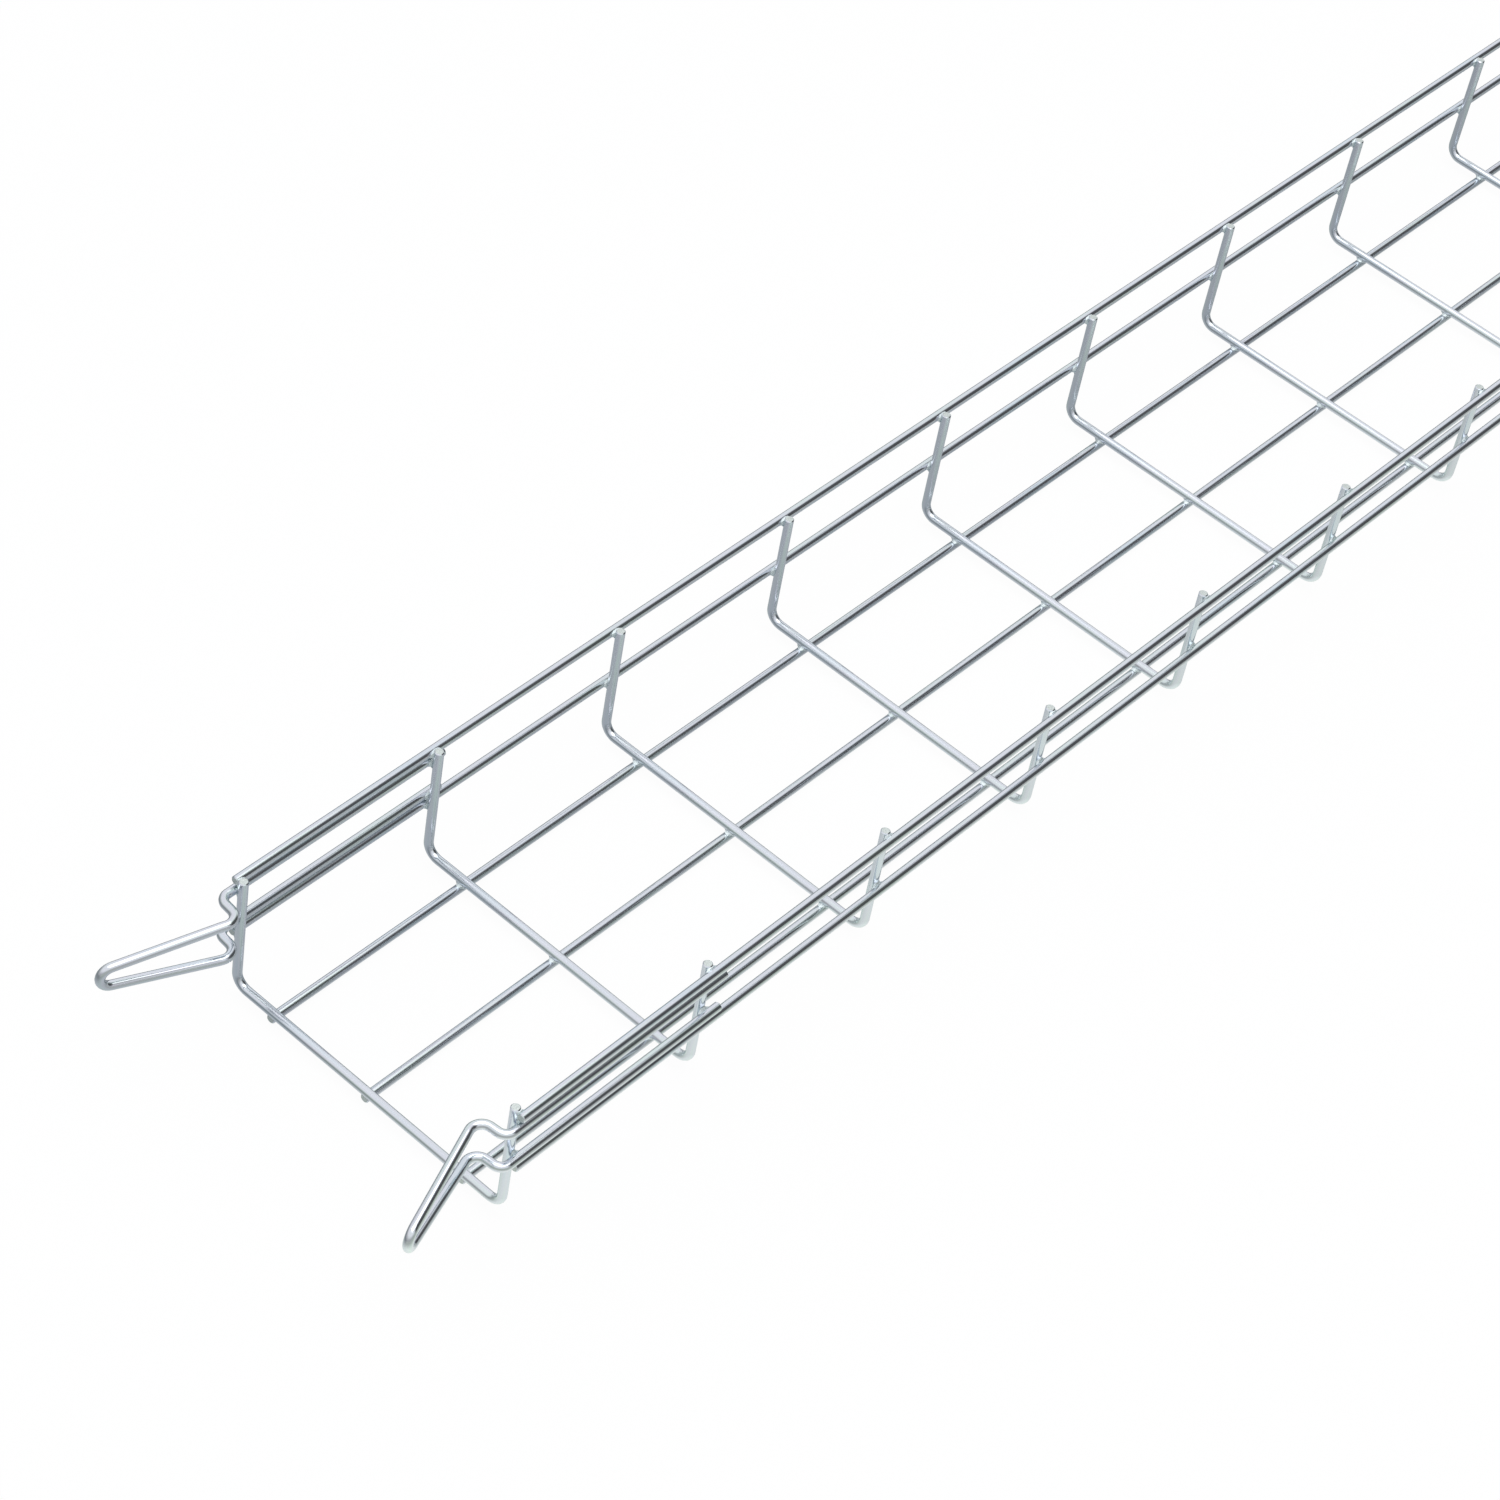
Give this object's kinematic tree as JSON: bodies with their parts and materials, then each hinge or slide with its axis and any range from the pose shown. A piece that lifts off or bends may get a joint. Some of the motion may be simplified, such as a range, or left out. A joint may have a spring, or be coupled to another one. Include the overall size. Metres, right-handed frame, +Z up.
{
  "type": "wire mesh cable basket",
  "caption": "Open U-shaped cable tray of welded zinc-plated steel wire, with a hairpin snap connector on each side wall at one end.",
  "frame": {"origin": "under the middle of the first cross wire, the one at the connectors' end, midway between the side walls, on the plane that the bottom wires rest on", "axes": "+X along the tray away from the connectors, +Y towards the left wall as seen from the connectors' end, +Z up, out of the open top"},
  "size_m": [3.064, 0.1614, 0.0622],
  "materials": {
    "zinc_plated_wire": "bright electro-zinc-plated drawn steel wire, smooth and shiny"
  },
  "bodies": {
    "root": {"wire_mesh": "zinc_plated_wire", "connector_left": "zinc_plated_wire", "connector_right": "zinc_plated_wire"}
  },
  "joints": []
}
